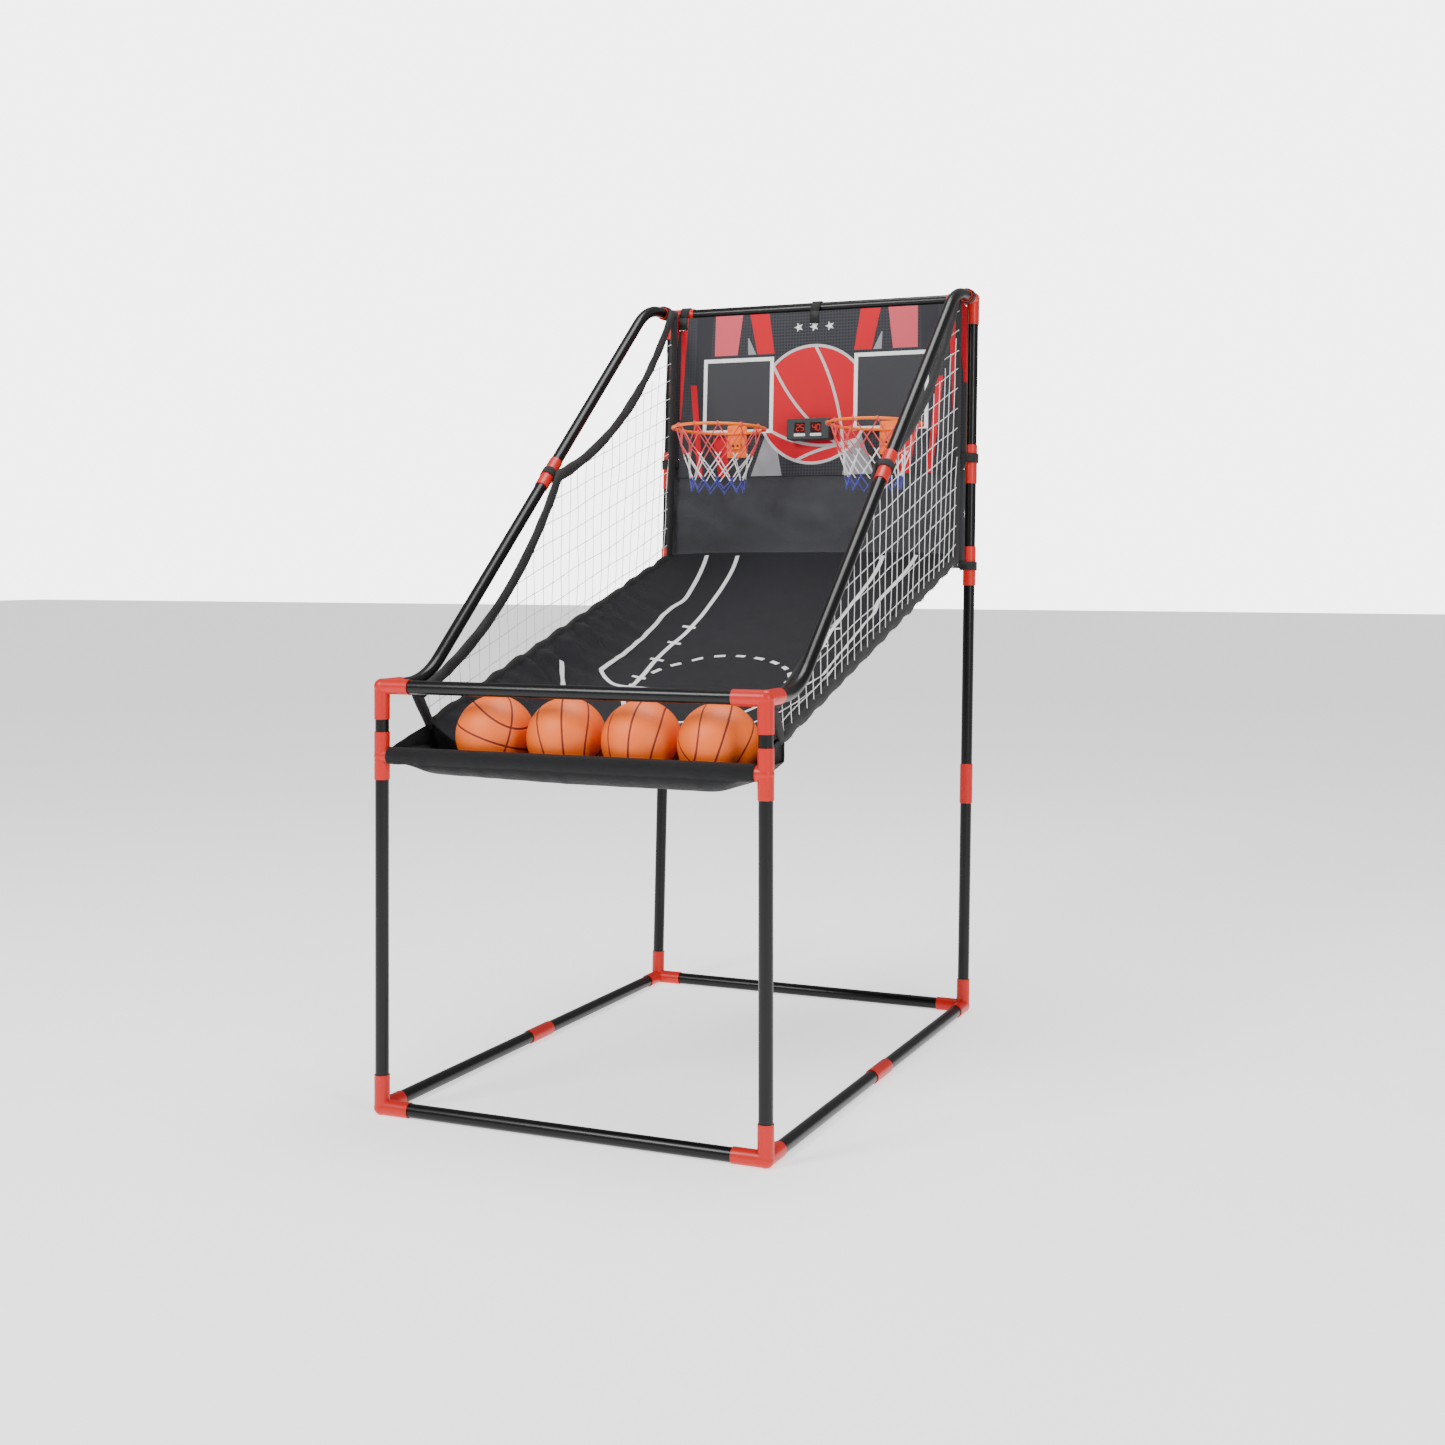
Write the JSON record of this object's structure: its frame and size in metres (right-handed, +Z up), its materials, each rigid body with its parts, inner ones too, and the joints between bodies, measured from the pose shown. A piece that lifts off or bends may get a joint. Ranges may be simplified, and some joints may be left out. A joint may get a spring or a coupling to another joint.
{
  "type": "basketball arcade game",
  "caption": "Indoor basketball shootout game: a plastic-jointed tube frame with a printed backboard, hoops and nets, an electronic scoreboard, a fabric ball-return ramp, side nets and balls.",
  "frame": {"origin": "on the floor, at the centre of the object's bounding box", "axes": "+X to the player's right, +Y from the player to the backboard, +Z up"},
  "size_m": [0.6878, 1.1256, 1.4177],
  "materials": {
    "red_plastic": "moulded, semi-gloss",
    "black_tube": "gloss powder coat",
    "printed_board": "printed fibreboard, satin",
    "strap": "woven webbing",
    "orange_metal": "gloss powder coat",
    "hoop_net": "knotted cord",
    "steel": "zinc plated",
    "sensor": "moulded",
    "sensor_lens": "polished",
    "case_plastic": "moulded, satin",
    "window": "tinted, polished",
    "label": "plain",
    "circuit": "solder mask",
    "display": "moulded",
    "button": "moulded",
    "battery": "printed sleeve",
    "speaker": "black",
    "fabric": "woven polyester",
    "white_mesh": "knotted mesh",
    "ball": "pebbled"
  },
  "bodies": {
    "frame": {"backboard": "printed_board", "backboard_straps": "strap", "ball_tray": "fabric", "base_corners_front": "red_plastic", "base_corners_rear": "red_plastic", "base_front_tube": "black_tube", "base_rear_tube": "black_tube", "base_side_sleeves": "red_plastic", "base_side_tubes_left": "black_tube", "base_side_tubes_right": "black_tube", "batteries": "battery", "battery_case": "case_plastic", "case_screws": "steel", "circuit_board": "circuit", "front_leg_tubes_left": "black_tube", "front_leg_tubes_right": "black_tube", "front_top_corners": "red_plastic", "front_top_rail": "black_tube", "hoop_back_plates": "orange_metal", "hoop_left": "orange_metal", "hoop_net_left": "hoop_net", "hoop_net_right": "hoop_net", "hoop_nuts": "steel", "hoop_right": "orange_metal", "hoop_screws": "steel", "hoop_sensor_lenses": "sensor_lens", "hoop_sensors": "sensor", "net_ties": "strap", "net_webbing_left": "strap", "net_webbing_right": "strap", "ramp": "fabric", "rear_post_sleeves": "red_plastic", "rear_post_tubes_left": "black_tube", "rear_post_tubes_right": "black_tube", "rear_top_corners": "red_plastic", "rear_top_rail": "black_tube", "score_displays": "display", "score_windows": "window", "scoreboard_case": "case_plastic", "scoreboard_labels": "label", "side_arm_lower_tubes": "black_tube", "side_arm_sleeves": "red_plastic", "side_arm_upper_tubes": "black_tube", "side_net_left": "white_mesh", "side_net_right": "white_mesh", "skirt": "fabric", "speaker": "speaker", "tray_rail": "black_tube", "tray_tees": "red_plastic"},
    "ball_1_body": {"ball_1": "ball"},
    "ball_2_body": {"ball_2": "ball"},
    "ball_3_body": {"ball_3": "ball"},
    "ball_4_body": {"ball_4": "ball"},
    "left_button": {"button_left": "button"},
    "right_button": {"button_right": "button"},
    "door": {"battery_door": "case_plastic"}
  },
  "joints": [
    {"name": "ball_1_lift", "type": "slide", "parent": "frame", "child": "ball_1_body", "axis": [0, 0, 1], "range_m": [0, 0.3]},
    {"name": "ball_2_lift", "type": "slide", "parent": "frame", "child": "ball_2_body", "axis": [0, 0, 1], "range_m": [0, 0.3]},
    {"name": "ball_3_lift", "type": "slide", "parent": "frame", "child": "ball_3_body", "axis": [0, 0, 1], "range_m": [0, 0.3]},
    {"name": "ball_4_lift", "type": "slide", "parent": "frame", "child": "ball_4_body", "axis": [0, 0, 1], "range_m": [0, 0.3]},
    {"name": "left_button_press", "type": "slide", "parent": "frame", "child": "left_button", "axis": [0, -0.0523, -0.9986], "range_m": [0, 0.0012], "stiffness_N_per_m": 300, "springref_m": -0.001},
    {"name": "right_button_press", "type": "slide", "parent": "frame", "child": "right_button", "axis": [0, -0.0523, -0.9986], "range_m": [0, 0.0012], "stiffness_N_per_m": 300, "springref_m": -0.001},
    {"name": "battery_door_slide", "type": "slide", "parent": "frame", "child": "door", "axis": [1, 0, 0], "range_m": [0, 0.083]}
  ]
}
